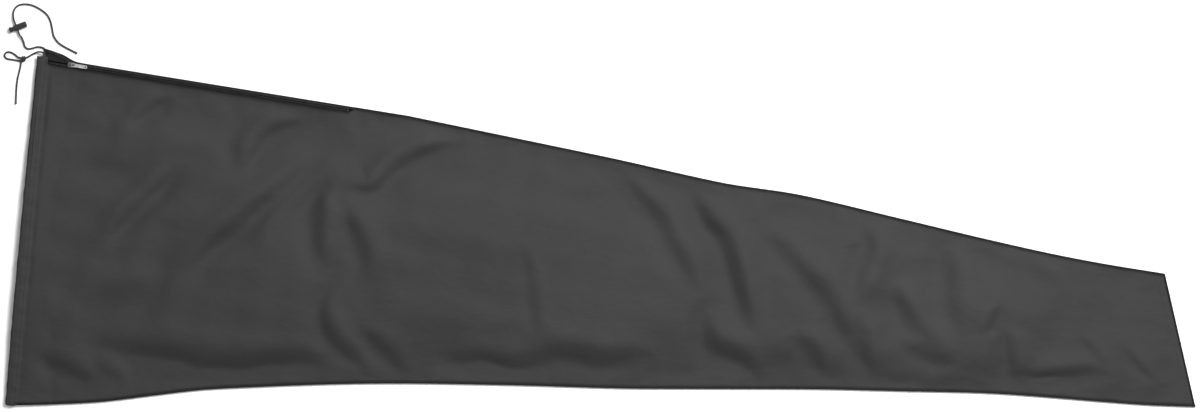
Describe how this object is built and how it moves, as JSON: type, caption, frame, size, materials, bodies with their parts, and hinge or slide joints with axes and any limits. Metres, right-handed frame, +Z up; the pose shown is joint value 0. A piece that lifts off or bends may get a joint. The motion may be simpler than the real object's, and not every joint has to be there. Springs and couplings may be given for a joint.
{
  "type": "zipped garden parasol cover",
  "caption": "Long tapered fabric cover lying flat and empty, open at the wide end with a drawcord hem, closed at the narrow end, coil zip down one edge.",
  "frame": {"origin": "on the ground, under the middle of the cover's own box, measured without the free drawcord ends and the cord lock", "axes": "+X runs from the wide open mouth to the narrow closed end, +Y points to the edge with the zip, +Z is up, off the ground the cover lies on"},
  "size_m": [1.9578, 0.6633, 0.0206],
  "materials": {
    "front fabric": "woven polyester, matt with a faint coated sheen",
    "back fabric": "woven polyester, matt",
    "hem fabric": "the same polyester turned over and stitched, puckered",
    "seam binding": "turned and stitched seam allowance",
    "zip tape": "black knitted zip tape",
    "zip coil": "black nylon coil",
    "zip stops": "black enamelled metal",
    "slider enamel": "dark grey enamelled die casting",
    "nickel pull": "nickel-plated, satin",
    "braided cord": "round braided polyester cord",
    "sealed cord end": "melted cord end",
    "black nylon": "moulded black nylon",
    "spring steel": "bright wire"
  },
  "bodies": {
    "cover": {"front_panel": "front fabric", "back_panel": "back fabric", "front_hem": "hem fabric", "back_hem": "hem fabric", "near_seam": "seam binding", "end_seam": "seam binding", "zip_edge_seam": "seam binding", "front_zip_tape": "zip tape", "back_zip_tape": "zip tape", "front_zip_coil": "zip coil", "back_zip_coil": "zip coil", "front_top_stop": "zip stops", "back_top_stop": "zip stops", "zip_bottom_stop": "zip stops", "hem_drawcord": "braided cord", "lock_cord": "braided cord", "lock_cord_tip": "sealed cord end", "bow_cord": "braided cord", "bow_loop": "braided cord", "bow_tail": "braided cord", "bow_cord_tip": "sealed cord end", "bow_knot": "braided cord"},
    "slider": {"zip_slider_body": "slider enamel"},
    "pull": {"zip_pull": "nickel pull"},
    "lock_barrel": {"cord_lock_barrel": "black nylon", "cord_lock_spring": "spring steel"},
    "lock_plunger": {"cord_lock_plunger": "black nylon"}
  },
  "joints": [
    {"name": "zip_slide", "type": "slide", "parent": "cover", "child": "slider", "axis": [0.9872, -0.1595, 0], "range_m": [-0.031, 0.4485], "deforming": ["front_zip_coil", "back_zip_coil", "front_zip_tape", "back_zip_tape"]},
    {"name": "pull_hinge", "type": "hinge", "parent": "slider", "child": "pull", "pos_m": [-0.86796, 0.26702, 0.0111], "axis": [0.1595, 0.9872, 0], "range_deg": [-172, 0]},
    {"name": "cord_lock_slide", "type": "slide", "parent": "cover", "child": "lock_barrel", "axis": [-0.3584, 0.9336, 0], "range_m": [-0.005, 0.005]},
    {"name": "cord_lock_press", "type": "slide", "parent": "lock_barrel", "child": "lock_plunger", "axis": [0.9336, 0.3584, 0], "range_m": [0, 0.0032], "stiffness_N_per_m": 600, "deforming": ["cord_lock_spring"]}
  ]
}
